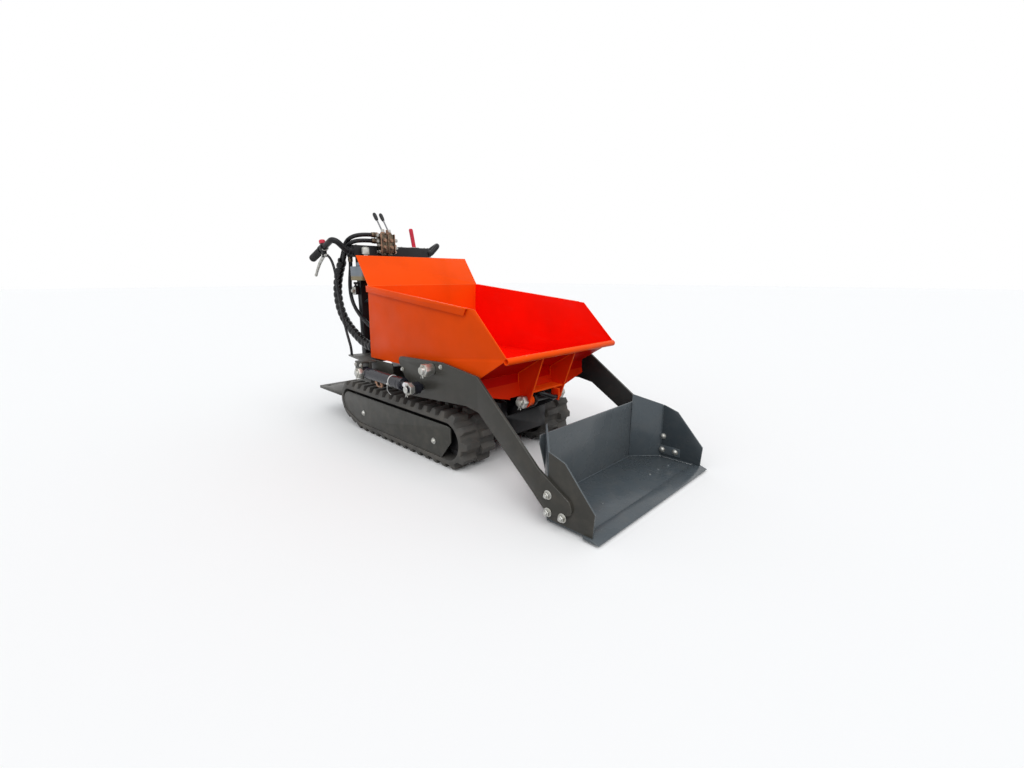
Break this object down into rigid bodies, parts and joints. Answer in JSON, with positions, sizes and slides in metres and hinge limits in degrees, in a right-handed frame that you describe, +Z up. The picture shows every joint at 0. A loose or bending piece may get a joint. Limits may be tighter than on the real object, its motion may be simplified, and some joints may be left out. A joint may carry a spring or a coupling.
{
  "type": "tracked site dumper with self-loading shovel",
  "caption": "Walk-behind tracked mini dumper with a forward-tipping steel skip and a self-loading front shovel on hydraulic lift arms.",
  "frame": {"origin": "centre of the machine's box on the ground, under the skip", "axes": "+X forward to the shovel, +Y to the machine's left, +Z up"},
  "size_m": [2, 0.892, 1.1232],
  "materials": {
    "orange_paint": "satin powder coat",
    "anthracite_paint": "satin powder coat",
    "shovel_paint": "satin powder coat",
    "black_paint": "satin powder coat",
    "track_rubber": "matt moulded rubber",
    "grip_rubber": "matt moulded rubber",
    "zinc_steel": "zinc plated",
    "chrome_rod": "hard chrome",
    "cast_grey": "rough casting",
    "black_plastic": "moulded",
    "engine_metal": "die cast",
    "hose_rubber": "smooth hose cover",
    "red_plastic": "moulded",
    "brass_fitting": "machined",
    "tank_grey": "moulded"
  },
  "bodies": {
    "chassis": {"chassis_frame": "black_paint", "drive_gearbox": "cast_grey", "engine_deck": "black_paint", "loader_pivot_frame": "anthracite_paint", "lift_anchor_beam": "anthracite_paint", "skip_hinge_bracket": "black_paint", "engine_block": "engine_metal", "engine_shroud": "black_plastic", "fuel_tank": "black_plastic", "muffler": "engine_metal", "air_cleaner": "black_plastic", "control_column": "black_paint", "console": "black_plastic", "hydraulic_tank": "tank_grey", "valve_block": "brass_fitting", "valve_levers": "zinc_steel", "drive_lever": "red_plastic", "handlebars": "black_paint", "handle_grips": "grip_rubber", "hand_levers": "zinc_steel", "rear_step": "anthracite_paint", "hose_bundle": "hose_rubber", "valve_hose_1": "hose_rubber", "valve_hose_2": "hose_rubber", "feed_hose": "hose_rubber", "track_left": "track_rubber", "track_beam_left": "black_paint", "track_wheels_left": "cast_grey", "track_cover_left": "anthracite_paint", "clutch_cable_left": "hose_rubber", "track_right": "track_rubber", "track_beam_right": "black_paint", "track_wheels_right": "cast_grey", "track_cover_right": "anthracite_paint", "clutch_cable_right": "hose_rubber"},
    "skip": {"skip_floor": "orange_paint", "skip_side_left": "orange_paint", "skip_side_right": "orange_paint", "skip_front": "orange_paint", "skip_rear": "orange_paint", "skip_hinge_ribs": "orange_paint", "hinge_hose": "hose_rubber"},
    "loader": {"loader_arm_left": "anthracite_paint", "loader_arm_right": "anthracite_paint", "shovel_floor": "shovel_paint", "cutting_edge": "shovel_paint", "shovel_back": "shovel_paint", "shovel_side_left": "shovel_paint", "shovel_side_right": "shovel_paint", "shovel_wing_left": "shovel_paint", "shovel_wing_right": "shovel_paint"},
    "tip_barrel": {"tip_barrel": "black_paint"},
    "tip_rod": {"tip_rod": "chrome_rod"},
    "lift_barrel_left": {"lift_barrel_left": "black_paint"},
    "lift_rod_left": {"lift_rod_left": "chrome_rod"},
    "lift_barrel_right": {"lift_barrel_right": "black_paint"},
    "lift_rod_right": {"lift_rod_right": "chrome_rod"}
  },
  "joints": [
    {"name": "loader_lift", "type": "hinge", "parent": "chassis", "child": "loader", "pos_m": [0.161, 0, 0.422], "axis": [0, -1, 0], "range_deg": [0, 105]},
    {"name": "skip_tip", "type": "hinge", "parent": "chassis", "child": "skip", "pos_m": [0.43, 0, 0.288], "axis": [0, 1, 0], "range_deg": [0, 85]},
    {"name": "tip_barrel_swing", "type": "hinge", "parent": "chassis", "child": "tip_barrel", "pos_m": [-0.08, 0, 0.15], "axis": [0, -1, 0], "range_deg": [-0.434, 0.05]},
    {"name": "tip_rod_slide", "type": "slide", "parent": "tip_barrel", "child": "tip_rod", "axis": [0.884, 0, 0.4674], "range_m": [-0.0005, 0.21001]},
    {"name": "lift_barrel_swing_left", "type": "hinge", "parent": "chassis", "child": "lift_barrel_left", "pos_m": [-0.335, 0.395, 0.343], "axis": [0, -1, 0], "range_deg": [-0.05, 3.67]},
    {"name": "lift_rod_slide_left", "type": "slide", "parent": "lift_barrel_left", "child": "lift_rod_left", "axis": [0.9999, 0, -0.0167], "range_m": [-0.0005, 0.17983]},
    {"name": "lift_barrel_swing_right", "type": "hinge", "parent": "chassis", "child": "lift_barrel_right", "pos_m": [-0.335, -0.395, 0.343], "axis": [0, -1, 0], "range_deg": [-0.05, 3.67]},
    {"name": "lift_rod_slide_right", "type": "slide", "parent": "lift_barrel_right", "child": "lift_rod_right", "axis": [0.9999, 0, -0.0167], "range_m": [-0.0005, 0.17983]}
  ],
  "couplings": [
    {"joint": "tip_barrel_swing", "follows": "skip_tip", "ratio": -0.004518},
    {"joint": "tip_rod_slide", "follows": "skip_tip", "m_per_rad": 0.14123},
    {"joint": "lift_barrel_swing_left", "follows": "loader_lift", "ratio": 0.034455},
    {"joint": "lift_rod_slide_left", "follows": "loader_lift", "m_per_rad": 0.097855},
    {"joint": "lift_barrel_swing_right", "follows": "loader_lift", "ratio": 0.034455},
    {"joint": "lift_rod_slide_right", "follows": "loader_lift", "m_per_rad": 0.097855}
  ]
}
